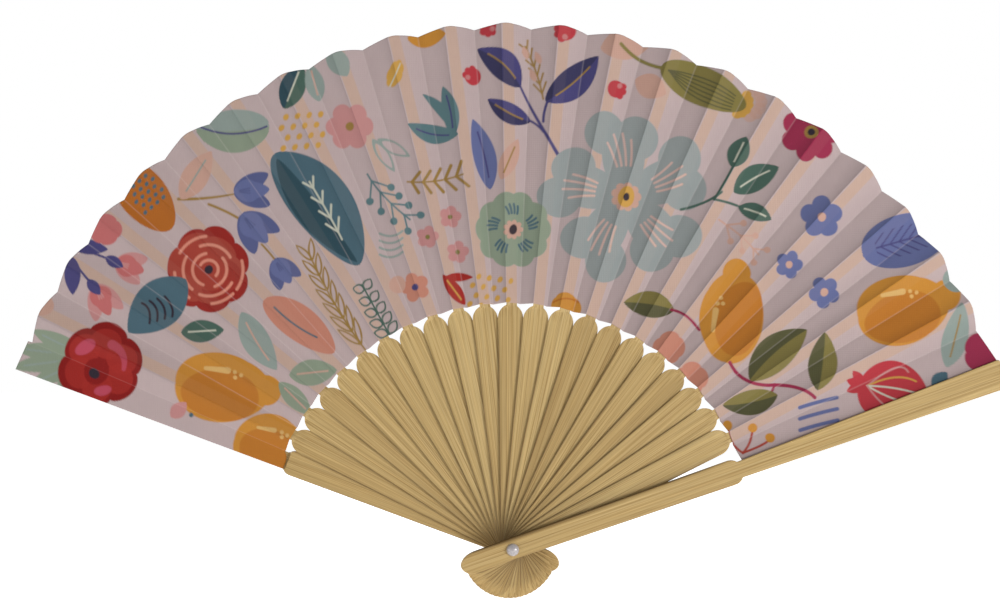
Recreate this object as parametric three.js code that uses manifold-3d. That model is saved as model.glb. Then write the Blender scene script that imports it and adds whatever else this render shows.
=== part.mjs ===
// A folding hand fan: bamboo sticks between two guards, all turning on one rivet, and a
// pleated fabric leaf glued to the front of the sticks' thin ribs.
//
// Millimetres. The fan stands open in the XZ plane with its front facing -Y and the middle
// stick pointing up along +Z. The origin is on the rivet's axis, in the middle stick's plane.
//
// Each piece is drawn in a stick frame: x to the right, y from front to back, z outwards
// along the stick from the rivet. It is then turned about the rivet to its place.

import * as THREE from "three";
import { mergeVertices } from "three/addons/utils/BufferGeometryUtils.js";
import Module from "manifold-3d";

const wasm = await Module();
wasm.setup();

// ---- Driving dimensions ----------------------------------------------------------------

// The spread of the open fan, in degrees. Directions are counted anticlockwise from +X.
const INNER_STICKS = 21;
const MIDDLE_STICK = 11;
const UP = 90;
const STICK_PITCH = 6.275;
const FRONT_GUARD_DIRECTION = 19.1;
const BACK_GUARD_DIRECTION = 158.75;

// The stack, from front to back.
const STICK_SPACING = 0.85;
const BLADE_THICKNESS = 0.66;
const RIB_THICKNESS = 0.45;

// The blade of an inner stick: its head below the rivet, and its round top.
const HEAD_REACH = 20;
const HEAD_NOSE = 6.5;
const HEAD_HALF_WIDTH = 4.3;
const WAIST_HALF_WIDTH = 3.95;
const SHOULDER_HALF_WIDTH = 5.05;
const SHOULDER_RADIUS = 91.5;
const BLADE_TOP_RADIUS = 97.3;
const BLADE_FLAT_RADIUS = 95.6;
const RIVET_HOLE_RADIUS = 1.45;

// The rib that carries the leaf, beside the pleat's front fold.
const RIB_WIDTH = 4.3;
const RIB_INSET_START = 0.1;
const RIB_INSET_END = 0.55;
const RIB_ROOT_RADIUS = 90;
const RIB_FLAT_RADIUS = 95.65;
const RIB_TILTED_RADIUS = 97.4;
const RIB_END_RADIUS = 205;
const RIB_TWIST_STEPS = 4;

// The leaf. Fold directions are degrees anticlockwise from the stick's own direction.
const LEAF_INNER_RADIUS = 97.6;
const FRONT_FOLD_RADIUS = 209.2;
const BACK_FOLD_RADIUS = 206.8;
const LEAF_THICKNESS = 0.2;
const LEAF_FORWARD = 0.5;
const LEAF_TO_RIB = 0.15;
const PLEAT_DEPTH_PER_RADIUS = 0.018;
const FRONT_FOLD = 1.05;
const BACK_FOLD = -2.3;
const LEAF_EDGE_BEYOND_GUARD = 1.25;
const LEAF_EDGE_INSIDE_GUARD = 0.4;
const PLEAT_GAP = 0.06;

// The guards: a thick lower part and an upper part relieved behind for the pleats.
const GUARD_INNER_FACE = 0.35;
const GUARD_OUTER_FACE = 3.1;
const GUARD_HEAD_REACH = 21.5;
const GUARD_NOSE = 7;
const GUARD_HEAD_HALF_WIDTH = 4.45;
const GUARD_WAIST_INNER = 4.6;
const GUARD_WAIST_OUTER = 3.7;
const GUARD_SHOULDER_HALF_WIDTH = 5;
const GUARD_SHOULDER_RADIUS = 92.5;
const GUARD_TOP_RADIUS = 97;
const RELIEF_FOOT_RADIUS = 93;
const RELIEF_CUT_SIZE = 20;
const GUARD_END_RADIUS = 208.5;
const GUARD_INNER_EDGE_PER_RADIUS = 0.0355;
const GUARD_OUTER_EDGE_START = 3.2;
const GUARD_OUTER_EDGE_END = 4.5;
const RELIEF_START = 0.95;
const RELIEF_END = 1.95;
const GUARD_TO_LEAF = 0.12;

// The two-piece rivet: a headed pin in a blind cap.
const PIN_RADIUS = 1.25;
const RIVET_HEAD_RADIUS = 2.5;
const RIVET_HEAD_HEIGHT = 2.1;
const RIVET_SEAT_GAP = 0.06;
const PIN_IN_CAP = 1.1;
const CAP_BORE_RADIUS = 1.35;
const CAP_BORE_DEPTH = 1.25;

const CURVE_SEGMENTS = 8;
const RIVET_SEGMENTS = 24;
const DOME_STEPS = 6;

const BAMBOO = { color: 0xc6a86b, roughness: 0.62, metalness: 0 };
const FABRIC = { color: 0xc9adab, roughness: 0.9, metalness: 0 };
const PEARL = { color: 0xcfcdd2, roughness: 0.22, metalness: 0.1 };

// ---- Small helpers -----------------------------------------------------------------------

const sideways = (degrees) => Math.tan(THREE.MathUtils.degToRad(degrees));
const lerp = THREE.MathUtils.lerp;
const twoDigits = (number) => String(number).padStart(2, "0");
const stickPlane = (index) => (index - MIDDLE_STICK) * STICK_SPACING;
const stickDirection = (index) => UP + (index - MIDDLE_STICK) * STICK_PITCH;

const BACK_GUARD = INNER_STICKS + 1;
const directionOf = (index) => {
  if (index === 0) return FRONT_GUARD_DIRECTION;
  if (index === BACK_GUARD) return BACK_GUARD_DIRECTION;
  return stickDirection(index);
};

function toSolid(geometry) {
  const bare = geometry.clone();
  bare.deleteAttribute("normal");
  bare.deleteAttribute("uv");
  const merged = mergeVertices(bare, 1e-4);
  return new wasm.Manifold(new wasm.Mesh({
    numProp: 3,
    vertProperties: Float32Array.from(merged.attributes.position.array),
    triVerts: Uint32Array.from(merged.index.array),
  }));
}

function toGeometry(solid) {
  const mesh = solid.getMesh();
  const geometry = new THREE.BufferGeometry();
  geometry.setAttribute("position", new THREE.BufferAttribute(mesh.vertProperties, 3));
  geometry.setIndex(new THREE.BufferAttribute(mesh.triVerts, 1));
  geometry.computeVertexNormals();
  return geometry;
}

// A flat plate with its outline in x and z, between two y planes.
function plate(shape, frontY, backY) {
  const geometry = new THREE.ExtrudeGeometry(shape, {
    depth: backY - frontY,
    bevelEnabled: false,
    curveSegments: CURVE_SEGMENTS,
  });
  geometry.rotateX(Math.PI / 2);
  geometry.translate(0, backY, 0);
  return geometry;
}

// A solid skinned over rings of points that all have the same count. Seen from the far end,
// each ring runs anticlockwise.
function skin(rings) {
  const count = rings[0].length;
  const position = rings.flat(2);
  const index = [];
  for (let r = 0; r + 1 < rings.length; r++) {
    for (let i = 0; i < count; i++) {
      const a = r * count + i;
      const b = r * count + (i + 1) % count;
      index.push(a, b, a + count, b, b + count, a + count);
    }
  }
  const last = (rings.length - 1) * count;
  for (let i = 1; i + 1 < count; i++) {
    index.push(0, i + 1, i);
    index.push(last, last + i, last + i + 1);
  }
  const geometry = new THREE.BufferGeometry();
  geometry.setAttribute("position", new THREE.Float32BufferAttribute(position, 3));
  geometry.setIndex(index);
  geometry.computeVertexNormals();
  return geometry;
}

// ---- The leaf's pleats -------------------------------------------------------------------

const pleatDepth = (radius) => PLEAT_DEPTH_PER_RADIUS * radius;
const frontFoldY = (radius) => -LEAF_FORWARD - pleatDepth(radius) / 2;
const backFoldY = (radius) => -LEAF_FORWARD + pleatDepth(radius) / 2;
const frontFoldX = (radius) => -radius * sideways(FRONT_FOLD);
const backFoldX = (radius) => -radius * sideways(BACK_FOLD);

// The front of the fabric on the panel that is glued to a rib.
function ribPanelY(x, radius) {
  const across = (x - frontFoldX(radius)) / (backFoldX(radius) - frontFoldX(radius));
  return lerp(frontFoldY(radius), backFoldY(radius), across);
}

// How far along a guard's upper part a radius is, from 0 at the leaf's inner edge to 1 at its
// end, and the relieved face and the outer edge there.
const alongGuard = (radius) =>
  (radius - LEAF_INNER_RADIUS) / (GUARD_END_RADIUS - LEAF_INNER_RADIUS);
const reliefAt = (radius) => lerp(RELIEF_START, RELIEF_END, alongGuard(radius));
const guardOuterEdge = (radius) =>
  lerp(GUARD_OUTER_EDGE_START, GUARD_OUTER_EDGE_END, alongGuard(radius));

// A point that is given in a stick's frame, placed in the fan's frame.
function placed(index, x, y, z) {
  const turn = THREE.MathUtils.degToRad(UP - directionOf(index));
  const point = new THREE.Vector3(x, y, z).applyAxisAngle(new THREE.Vector3(0, 1, 0), turn);
  return [point.x, point.y + stickPlane(index), point.z];
}

// The fold on the left of panel `index`, which comes forward. On the guards the leaf lies
// flat on the relieved face.
function frontFold(index, radius, shift) {
  if (index === 0) {
    const x = -GUARD_INNER_EDGE_PER_RADIUS * radius;
    return placed(0, x + shift, GUARD_TO_LEAF - reliefAt(radius), radius);
  }
  if (index === BACK_GUARD) {
    const x = -radius * sideways(LEAF_EDGE_BEYOND_GUARD);
    const y = reliefAt(radius) - GUARD_TO_LEAF - LEAF_THICKNESS;
    return placed(BACK_GUARD, x + shift, y, radius);
  }
  return placed(index, frontFoldX(radius) + shift, frontFoldY(radius), radius);
}

// The fold on the right of panel `index`, which goes back.
function backFold(index, radius) {
  if (index === BACK_GUARD) {
    const x = GUARD_INNER_EDGE_PER_RADIUS * radius;
    const y = reliefAt(radius) - GUARD_TO_LEAF - LEAF_THICKNESS;
    return placed(BACK_GUARD, x, y, radius);
  }
  return placed(index, backFoldX(radius), backFoldY(radius), radius);
}

// Fabric between fold lines. Each line is a pair of points, at the inner and the outer edge.
function fabricStrip(lines) {
  const behind = ([x, y, z]) => [x, y + LEAF_THICKNESS, z];
  const ring = (end) => {
    const front = lines.map((line) => line[end]);
    const back = front.map(behind).reverse();
    return [...front, ...back];
  };
  return skin([ring(0), ring(1)]);
}

// One pleat: the free panel behind the neighbour's fold, and the panel glued to this stick.
function pleat(index) {
  const left = [LEAF_INNER_RADIUS, FRONT_FOLD_RADIUS].map((r) => frontFold(index, r, PLEAT_GAP));
  const middle = [LEAF_INNER_RADIUS, BACK_FOLD_RADIUS].map((r) => backFold(index, r));
  const right = [LEAF_INNER_RADIUS, FRONT_FOLD_RADIUS].map((r) => frontFold(index - 1, r, -PLEAT_GAP));
  return fabricStrip([left, middle, right]);
}

// The last strip of the leaf, glued behind the front guard.
function firstPanel() {
  const edge = (radius) => {
    const x = guardOuterEdge(radius) - LEAF_EDGE_INSIDE_GUARD;
    return placed(0, x, GUARD_TO_LEAF - reliefAt(radius), radius);
  };
  const left = [LEAF_INNER_RADIUS, FRONT_FOLD_RADIUS].map((r) => frontFold(0, r, PLEAT_GAP));
  const right = [LEAF_INNER_RADIUS, BACK_FOLD_RADIUS].map(edge);
  return fabricStrip([left, right]);
}

// ---- The sticks --------------------------------------------------------------------------

function rivetHole() {
  return new THREE.Path().absarc(0, 0, RIVET_HOLE_RADIUS, 0, 2 * Math.PI, true);
}

// A blade's half width on its elliptical top.
function topHalfWidth(z) {
  const share = Math.min((z - SHOULDER_RADIUS) / (BLADE_TOP_RADIUS - SHOULDER_RADIUS), 1);
  return SHOULDER_HALF_WIDTH * Math.sqrt(1 - share * share);
}

// A blade's outline: a round nose below the rivet, straight sides and the flat part of its
// round top.
function bladeShape() {
  const headZ = -HEAD_REACH + HEAD_NOSE;
  const top = BLADE_TOP_RADIUS - SHOULDER_RADIUS;
  const flatEnd = Math.asin((BLADE_FLAT_RADIUS - SHOULDER_RADIUS) / top);
  const shape = new THREE.Shape();
  const round = (from, to) =>
    shape.absellipse(0, SHOULDER_RADIUS, SHOULDER_HALF_WIDTH, top, from, to, false);
  shape.moveTo(-WAIST_HALF_WIDTH, 0);
  shape.lineTo(-HEAD_HALF_WIDTH, headZ);
  shape.absellipse(0, headZ, HEAD_HALF_WIDTH, HEAD_NOSE, Math.PI, 2 * Math.PI, false);
  shape.lineTo(WAIST_HALF_WIDTH, 0);
  round(0, flatEnd);
  round(Math.PI - flatEnd, Math.PI);
  shape.lineTo(-WAIST_HALF_WIDTH, 0);
  shape.holes.push(rivetHole());
  return shape;
}

// The rib's edge beside the front fold.
function ribEdge(z) {
  const along = (z - RIB_TILTED_RADIUS) / (RIB_END_RADIUS - RIB_TILTED_RADIUS);
  return frontFoldX(z) + lerp(RIB_INSET_START, RIB_INSET_END, along);
}

// The blade's round top narrows to the rib, which twists to lie behind its panel of the leaf.
function rib() {
  const ring = (z, twisted) => {
    const near = Math.min(ribEdge(z), -topHalfWidth(z));
    const far = Math.max(ribEdge(z) + RIB_WIDTH, topHalfWidth(z));
    const behindLeaf = (x) => ribPanelY(x, z) + LEAF_THICKNESS + LEAF_TO_RIB;
    const front = (x) => lerp(-RIB_THICKNESS / 2, behindLeaf(x), twisted);
    return [[near, front(near), z], [far, front(far), z],
      [far, front(far) + RIB_THICKNESS, z], [near, front(near) + RIB_THICKNESS, z]];
  };
  const rings = [ring(RIB_ROOT_RADIUS, 0)];
  for (let step = 0; step <= RIB_TWIST_STEPS; step++) {
    const share = step / RIB_TWIST_STEPS;
    rings.push(ring(lerp(RIB_FLAT_RADIUS, RIB_TILTED_RADIUS, share), share));
  }
  return skin([...rings, ring(RIB_END_RADIUS, 1)]);
}

function innerStick() {
  const blade = plate(bladeShape(), -BLADE_THICKNESS / 2, BLADE_THICKNESS / 2);
  return toGeometry(toSolid(blade).add(toSolid(rib())));
}

// ---- The guards --------------------------------------------------------------------------

// `outward` is 1 where the guard's outer edge is on the right, and -1 on the left.
function guardLowerShape(outward) {
  const headZ = -GUARD_HEAD_REACH + GUARD_NOSE;
  const top = GUARD_TOP_RADIUS - GUARD_SHOULDER_RADIUS;
  const leftWaist = outward > 0 ? GUARD_WAIST_INNER : GUARD_WAIST_OUTER;
  const rightWaist = outward > 0 ? GUARD_WAIST_OUTER : GUARD_WAIST_INNER;
  const shape = new THREE.Shape();
  shape.moveTo(-leftWaist, 0);
  shape.lineTo(-GUARD_HEAD_HALF_WIDTH, headZ);
  shape.absellipse(0, headZ, GUARD_HEAD_HALF_WIDTH, GUARD_NOSE, Math.PI, 2 * Math.PI, false);
  shape.lineTo(rightWaist, 0);
  shape.lineTo(GUARD_SHOULDER_HALF_WIDTH, GUARD_SHOULDER_RADIUS);
  shape.absellipse(0, GUARD_SHOULDER_RADIUS, GUARD_SHOULDER_HALF_WIDTH, top, 0, Math.PI, false);
  shape.lineTo(-leftWaist, 0);
  shape.holes.push(rivetHole());
  return shape;
}

// `facing` is -1 for the front guard, whose outer face is in front, and 1 for the back one.
function guardUpper(outward, facing) {
  const ring = (z, relief) => {
    const inner = -outward * GUARD_INNER_EDGE_PER_RADIUS * z;
    const outer = outward * guardOuterEdge(z);
    const [left, right] = [Math.min(inner, outer), Math.max(inner, outer)];
    const faces = [facing * relief, facing * GUARD_OUTER_FACE];
    const [front, back] = [Math.min(...faces), Math.max(...faces)];
    return [[left, front, z], [right, front, z], [right, back, z], [left, back, z]];
  };
  return skin([ring(GUARD_SHOULDER_RADIUS, RELIEF_START), ring(LEAF_INNER_RADIUS, RELIEF_START),
    ring(GUARD_END_RADIUS, RELIEF_END)]);
}

// The room that is cut behind the guard's shoulder for the ribs as they tilt.
function reliefCut() {
  const cut = new THREE.BoxGeometry(RELIEF_CUT_SIZE, 2 * RELIEF_START, RELIEF_CUT_SIZE);
  return cut.translate(0, 0, RELIEF_FOOT_RADIUS + RELIEF_CUT_SIZE / 2);
}

function guard(outward, facing) {
  const faces = [-facing * GUARD_INNER_FACE, facing * GUARD_OUTER_FACE];
  const lower = plate(guardLowerShape(outward), Math.min(...faces), Math.max(...faces));
  const relieved = toSolid(lower).subtract(toSolid(reliefCut()));
  return toGeometry(relieved.add(toSolid(guardUpper(outward, facing))));
}

// ---- The rivet ---------------------------------------------------------------------------

const RIVET_SEAT = (MIDDLE_STICK * STICK_SPACING) + GUARD_OUTER_FACE + RIVET_SEAT_GAP;

// Points of a dome from its rim to its tip, as (radius, height above the seat).
function domeProfile() {
  const points = [];
  for (let i = 0; i <= DOME_STEPS; i++) {
    const angle = (i / DOME_STEPS) * (Math.PI / 2);
    const radius = i === DOME_STEPS ? 0 : RIVET_HEAD_RADIUS * Math.cos(angle);
    points.push([radius, RIVET_HEAD_HEIGHT * Math.sin(angle)]);
  }
  return points;
}

// The pin's dome is in front and its shaft runs back into the cap.
function rivetPin() {
  const dome = domeProfile().reverse().map(([r, h]) => new THREE.Vector2(r, -RIVET_SEAT - h));
  const end = RIVET_SEAT + PIN_IN_CAP;
  const shaft = [[PIN_RADIUS, -RIVET_SEAT], [PIN_RADIUS, end], [0, end]];
  const profile = [...dome, ...shaft.map(([r, y]) => new THREE.Vector2(r, y))];
  return new THREE.LatheGeometry(profile, RIVET_SEGMENTS);
}

function rivetCap() {
  const bore = [[0, CAP_BORE_DEPTH], [CAP_BORE_RADIUS, CAP_BORE_DEPTH], [CAP_BORE_RADIUS, 0]];
  const profile = [...bore, ...domeProfile()].map(([r, h]) => new THREE.Vector2(r, RIVET_SEAT + h));
  return new THREE.LatheGeometry(profile, RIVET_SEGMENTS);
}

// ---- Assembly ----------------------------------------------------------------------------

const fan = new THREE.Group();

function addPiece(name, geometry, look) {
  const mesh = new THREE.Mesh(geometry, new THREE.MeshStandardMaterial(look));
  mesh.name = name;
  fan.add(mesh);
  return mesh;
}

function addOnRivet(name, geometry, look, index) {
  const mesh = addPiece(name, geometry, look);
  mesh.position.y = stickPlane(index);
  mesh.rotation.y = THREE.MathUtils.degToRad(UP - directionOf(index));
}

addOnRivet("front_guard", guard(1, -1), BAMBOO, 0);
for (let index = 1; index <= INNER_STICKS; index++) {
  addOnRivet(`stick_${twoDigits(index)}`, innerStick(), BAMBOO, index);
}
addOnRivet("back_guard", guard(-1, 1), BAMBOO, BACK_GUARD);

addPiece("leaf_panel_00", firstPanel(), FABRIC);
for (let index = 1; index <= BACK_GUARD; index++) {
  addPiece(`leaf_pleat_${twoDigits(index)}`, pleat(index), FABRIC);
}

addPiece("rivet_pin", rivetPin(), PEARL);
addPiece("rivet_cap", rivetCap(), PEARL);

export default fan;
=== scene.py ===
"""A folding hand fan: bamboo sticks and guards on one rivet, and a pleated, printed leaf.

Lengths are millimetres until a mesh is made. The frame is the CAD's: the fan stands open in
the XZ plane and faces -Y, the middle stick points up along +Z, and the origin is on the
rivet's axis. A stick frame has x to the right, y to the back and z outwards from the rivet.
"""

import math

import bpy
import numpy as np
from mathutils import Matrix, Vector


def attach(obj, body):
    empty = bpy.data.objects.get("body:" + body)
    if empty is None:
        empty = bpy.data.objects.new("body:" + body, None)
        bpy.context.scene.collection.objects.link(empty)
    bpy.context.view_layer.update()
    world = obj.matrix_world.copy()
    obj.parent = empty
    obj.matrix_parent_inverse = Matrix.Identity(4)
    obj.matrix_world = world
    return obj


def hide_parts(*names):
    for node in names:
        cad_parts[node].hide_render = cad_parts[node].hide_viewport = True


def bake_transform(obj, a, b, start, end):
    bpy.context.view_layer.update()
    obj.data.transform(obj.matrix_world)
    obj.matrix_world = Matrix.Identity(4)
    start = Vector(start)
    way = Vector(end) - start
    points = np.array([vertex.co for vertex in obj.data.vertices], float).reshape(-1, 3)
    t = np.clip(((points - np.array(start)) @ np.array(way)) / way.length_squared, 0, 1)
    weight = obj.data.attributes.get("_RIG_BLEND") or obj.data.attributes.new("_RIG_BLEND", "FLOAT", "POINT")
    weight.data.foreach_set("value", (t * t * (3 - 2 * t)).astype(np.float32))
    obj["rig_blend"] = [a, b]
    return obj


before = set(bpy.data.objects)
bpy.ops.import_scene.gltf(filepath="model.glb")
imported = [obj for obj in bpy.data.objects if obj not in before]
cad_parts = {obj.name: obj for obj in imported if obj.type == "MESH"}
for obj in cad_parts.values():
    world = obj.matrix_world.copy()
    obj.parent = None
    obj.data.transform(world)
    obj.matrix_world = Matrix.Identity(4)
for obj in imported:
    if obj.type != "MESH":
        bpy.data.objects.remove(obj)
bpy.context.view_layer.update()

MM = 0.001

# ---- The CAD's dimensions ----

INNER_STICKS = 21
MIDDLE_STICK = 11
BACK_GUARD = INNER_STICKS + 1
UP = 90
STICK_PITCH = 6.275
FRONT_GUARD_DIRECTION = 19.1
BACK_GUARD_DIRECTION = 158.75
STICK_SPACING = 0.85

BLADE_THICKNESS = 0.66
RIB_THICKNESS = 0.45
HEAD_REACH = 20
HEAD_NOSE = 6.5
HEAD_HALF_WIDTH = 4.3
WAIST_HALF_WIDTH = 3.95
SHOULDER_HALF_WIDTH = 5.05
SHOULDER_RADIUS = 91.5
BLADE_TOP_RADIUS = 97.3
RIVET_HOLE_RADIUS = 1.45
RIB_WIDTH = 4.3
RIB_INSET_START = 0.1
RIB_INSET_END = 0.55
RIB_FLAT_RADIUS = 95.65
RIB_TILTED_RADIUS = 97.4
RIB_END_RADIUS = 205

LEAF_INNER_RADIUS = 97.6
FRONT_FOLD_RADIUS = 209.2
BACK_FOLD_RADIUS = 206.8
LEAF_FORWARD = 0.5
LEAF_TO_RIB = 0.35
PLEAT_DEPTH_PER_RADIUS = 0.018
FRONT_FOLD = 1.05
BACK_FOLD = -2.3
LEAF_EDGE_BEYOND_GUARD = 1.25
LEAF_EDGE_INSIDE_GUARD = 0.4

GUARD_INNER_FACE = 0.35
GUARD_OUTER_FACE = 3.1
GUARD_HEAD_REACH = 21.5
GUARD_NOSE = 7
GUARD_HEAD_HALF_WIDTH = 4.45
GUARD_WAIST_INNER = 4.6
GUARD_WAIST_OUTER = 3.7
GUARD_SHOULDER_HALF_WIDTH = 5
GUARD_SHOULDER_RADIUS = 92.5
GUARD_TOP_RADIUS = 97
GUARD_END_RADIUS = 208.5
GUARD_INNER_EDGE_PER_RADIUS = 0.0355
GUARD_OUTER_EDGE_START = 3.2
GUARD_OUTER_EDGE_END = 4.5
RELIEF_START = 0.95
RELIEF_END = 1.95
GUARD_TO_LEAF = 0.12
CAD_LEAF_THICKNESS = 0.2

PIN_RADIUS = 1.25
RIVET_HEAD_RADIUS = 2.5
RIVET_HEAD_HEIGHT = 2.1
RIVET_SEAT = MIDDLE_STICK * STICK_SPACING + GUARD_OUTER_FACE + 0.06
PIN_IN_CAP = 1.1
CAP_BORE_RADIUS = 1.35
CAP_BORE_DEPTH = 1.25

# ---- What Blender adds ----

STICK_CORNER = 0.12
GUARD_CORNER = 0.4
# Painted shade on the sticks' long edges, where they overlap: how far in it reaches.
EDGE_SHADE_WIDTH = 0.3
BACK_GUARD_STEP_RADIUS = 95.2

# The rim bows out between two folds, and the inner edge is lower at the back folds. The rim
# is trimmed at the leaf's right end, less and less from one direction to the other.
EDGE_BULGE = 1.0
FREE_EDGE_BULGE = 0.15
INNER_EDGE_WAVE = 0.35
RIGHT_EDGE_TRIM = 1.6
RIGHT_EDGE_DIRECTIONS = (28, 80)

# On the back guard the leaf reaches lower, and just past the guard's outer edge.
BACK_GUARD_LEAF_INNER_RADIUS = 95.3
LEAF_OVER_GUARD_EDGE = 0.3

FABRIC_THICKNESS = 0.08
FREE_PANEL_SAG = 0.42
RIB_PANEL_SAG = 0.16
WRINKLE = 0.13

# The back folds are worn pale along a line, and painted shade darkens the cloth left of the front folds.
WORN_LINE_WIDTH = 0.28
SHADE_LINE_WIDTH = 0.55
WORN_FOLD = 0.13
FOLD_SHADE = 0.12

# The leaf's grid.
LEAF_ROWS = 280
STRIP_COLUMNS = 13
MARGIN_COLUMNS = 15
FREE_COLUMNS = 30
GUARD_COLUMNS = 22

# The studio, in metres, degrees and watts.
CAMERA_DISTANCE = 1.6
CAMERA_AZIMUTH = -4
VIEW_WIDTH = 0.3986
VIEW_CENTRE = (-0.0042, 0, 0.0957)
FLOOR_SIZE = 8.0
WORLD_STRENGTH = 0.32
LIGHT_TARGET = (0, 0, 0.1)
SOFTBOXES = (
    ("right softbox", (0.95, -0.95, 0.1), 0.32, 9.0),
    ("left softbox", (-1.05, -0.33, 0.0), 0.4, 1.3),
    ("back softbox", (-0.5, 1.1, 0.5), 0.6, 9.0),
)


def srgb(red, green, blue):
    """A colour that is given as 0 to 255 display values, as linear numbers."""
    return tuple(((c / 255 + 0.055) / 1.055) ** 2.4 for c in (red, green, blue))


# ---- Places in the fan ----


def direction_of(index):
    if index == 0:
        return FRONT_GUARD_DIRECTION
    if index == BACK_GUARD:
        return BACK_GUARD_DIRECTION
    return UP + (index - MIDDLE_STICK) * STICK_PITCH


def placed(index, x, y, z):
    """Points that are given in a stick's frame, in the fan's frame."""
    turn = math.radians(UP - direction_of(index))
    x, y, z = np.broadcast_arrays(x, y, z)
    return np.stack(
        [
            x * math.cos(turn) + z * math.sin(turn),
            y + (index - MIDDLE_STICK) * STICK_SPACING,
            z * math.cos(turn) - x * math.sin(turn),
        ],
        -1,
    )


def sideways(degrees):
    return math.tan(math.radians(degrees))


def front_fold_x(radius):
    return -radius * sideways(FRONT_FOLD)


def back_fold_x(radius):
    return -radius * sideways(BACK_FOLD)


def fold_y(radius, side):
    """The y of a fold: side is -1 for the front fold and 1 for the back fold."""
    return -LEAF_FORWARD + side * PLEAT_DEPTH_PER_RADIUS * radius / 2


def rib_panel_y(x, radius):
    """The fabric's front on the panel that is glued to a rib."""
    across = (x - front_fold_x(radius)) / (back_fold_x(radius) - front_fold_x(radius))
    return fold_y(radius, -1) + across * (fold_y(radius, 1) - fold_y(radius, -1))


def rib_inset(radius):
    """How far the rib's edge lies inside the front fold."""
    along = (radius - RIB_TILTED_RADIUS) / (RIB_END_RADIUS - RIB_TILTED_RADIUS)
    return RIB_INSET_START + (RIB_INSET_END - RIB_INSET_START) * along


def along_guard(radius):
    return (radius - LEAF_INNER_RADIUS) / (GUARD_END_RADIUS - LEAF_INNER_RADIUS)


def relief_at(radius):
    return RELIEF_START + (RELIEF_END - RELIEF_START) * along_guard(radius)


def guard_outer_edge(radius):
    edge = GUARD_OUTER_EDGE_END - GUARD_OUTER_EDGE_START
    return GUARD_OUTER_EDGE_START + edge * along_guard(radius)


# ---- Meshes ----


def make_object(name, points, faces):
    """A smooth mesh object from points in millimetres."""
    mesh = bpy.data.meshes.new(name)
    mesh.from_pydata((np.asarray(points) * MM).tolist(), [], faces)
    mesh.update()
    mesh.shade_smooth()
    piece = bpy.data.objects.new(name, mesh)
    bpy.context.scene.collection.objects.link(piece)
    return piece


def store(piece, name, kind, values):
    """Writes one value for each vertex: kind is FLOAT, FLOAT_VECTOR or FLOAT_COLOR."""
    field = {"FLOAT": "value", "FLOAT_VECTOR": "vector", "FLOAT_COLOR": "color"}[kind]
    attribute = piece.data.attributes.new(name, kind, "POINT")
    attribute.data.foreach_set(field, np.asarray(values, np.float32).ravel())


def vertices_of(piece):
    co = np.empty(len(piece.data.vertices) * 3)
    piece.data.vertices.foreach_get("co", co)
    return co.reshape(-1, 3)


def stand_for(piece, body, slot, *nodes):
    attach(piece, body)
    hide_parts(*nodes)


def ring_of(z, left, right, left_y, right_y, thickness, corner):
    """One section of a bar with round corners, its front face running from left to right."""
    width = right - left
    corner = min(corner, 0.45 * width, 0.45 * thickness)
    turns = (0, math.pi / 6, math.pi / 3, math.pi / 2)
    shares = (0.06, 0.13, 0.22, 0.36, 0.64, 0.78, 0.87, 0.94)
    round_left = [(corner * (1 - math.cos(a)), corner * (1 - math.sin(a))) for a in turns]
    flat = [(corner + (width - 2 * corner) * share, 0) for share in shares]
    front = round_left + flat + [(width - x, y) for x, y in reversed(round_left)]
    section = front + [(x, thickness - y) for x, y in reversed(front)]
    slope = (right_y - left_y) / width
    return [(left + x, left_y + slope * x + y, z) for x, y in section]


def bar(name, stations, corner):
    """A closed bar over stations, each with z, left, right, left y, right y and thickness."""
    rings = [ring_of(*station, corner) for station in stations]
    count = len(rings[0])
    points = [p for ring in rings for p in ring]
    faces = []
    for r in range(len(rings) - 1):
        for i in range(count):
            a, b = r * count + i, r * count + (i + 1) % count
            faces.append((a, b, b + count, a + count))
    last = (len(rings) - 1) * count
    faces.append(tuple(range(count - 1, -1, -1)))
    faces.append(tuple(range(last, last + count)))
    return make_object(name, points, faces)


def drill(piece, radius):
    """Cuts the rivet's hole, along y through the origin."""
    turns = np.linspace(0, 2 * math.pi, 40, endpoint=False)
    ring = [(radius * math.cos(t), radius * math.sin(t)) for t in turns]
    reach = 2 * GUARD_OUTER_FACE
    points = [(x, -reach, z) for x, z in ring] + [(x, reach, z) for x, z in ring]
    count = len(ring)
    faces = [(i, (i + 1) % count, count + (i + 1) % count, count + i) for i in range(count)]
    faces += [tuple(range(count - 1, -1, -1)), tuple(range(count, 2 * count))]
    cutter = make_object("cutter", points, faces)
    cut = piece.modifiers.new("rivet hole", "BOOLEAN")
    cut.operation, cut.object, cut.solver = "DIFFERENCE", cutter, "EXACT"
    graph = bpy.context.evaluated_depsgraph_get()
    cut_mesh = bpy.data.meshes.new_from_object(piece.evaluated_get(graph))
    piece.modifiers.clear()
    piece.data = cut_mesh
    bpy.data.objects.remove(cutter)


def ellipse_half(z, shoulder, top, half):
    """The half width of an elliptical end that starts at the shoulder, or 0 beyond it."""
    share = np.clip((z - shoulder) / (top - shoulder), 0, 1)
    return half * math.sqrt(1 - share**2)


def nose_stations(reach, nose, half):
    """(z, half width) along the round end below the rivet, from its tip upwards."""
    angles = np.linspace(0.04, math.pi / 2, 14)
    return [(-reach + nose - nose * math.cos(a), half * math.sin(a)) for a in angles]


# ---- Sticks and guards ----


def blade_half(z):
    """The half width of a blade's straight sides, which meet at the waist."""
    if z < 0:
        share = z / (HEAD_NOSE - HEAD_REACH)
        return WAIST_HALF_WIDTH + (HEAD_HALF_WIDTH - WAIST_HALF_WIDTH) * share
    share = min(z / SHOULDER_RADIUS, 1)
    return WAIST_HALF_WIDTH + (SHOULDER_HALF_WIDTH - WAIST_HALF_WIDTH) * share


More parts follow.
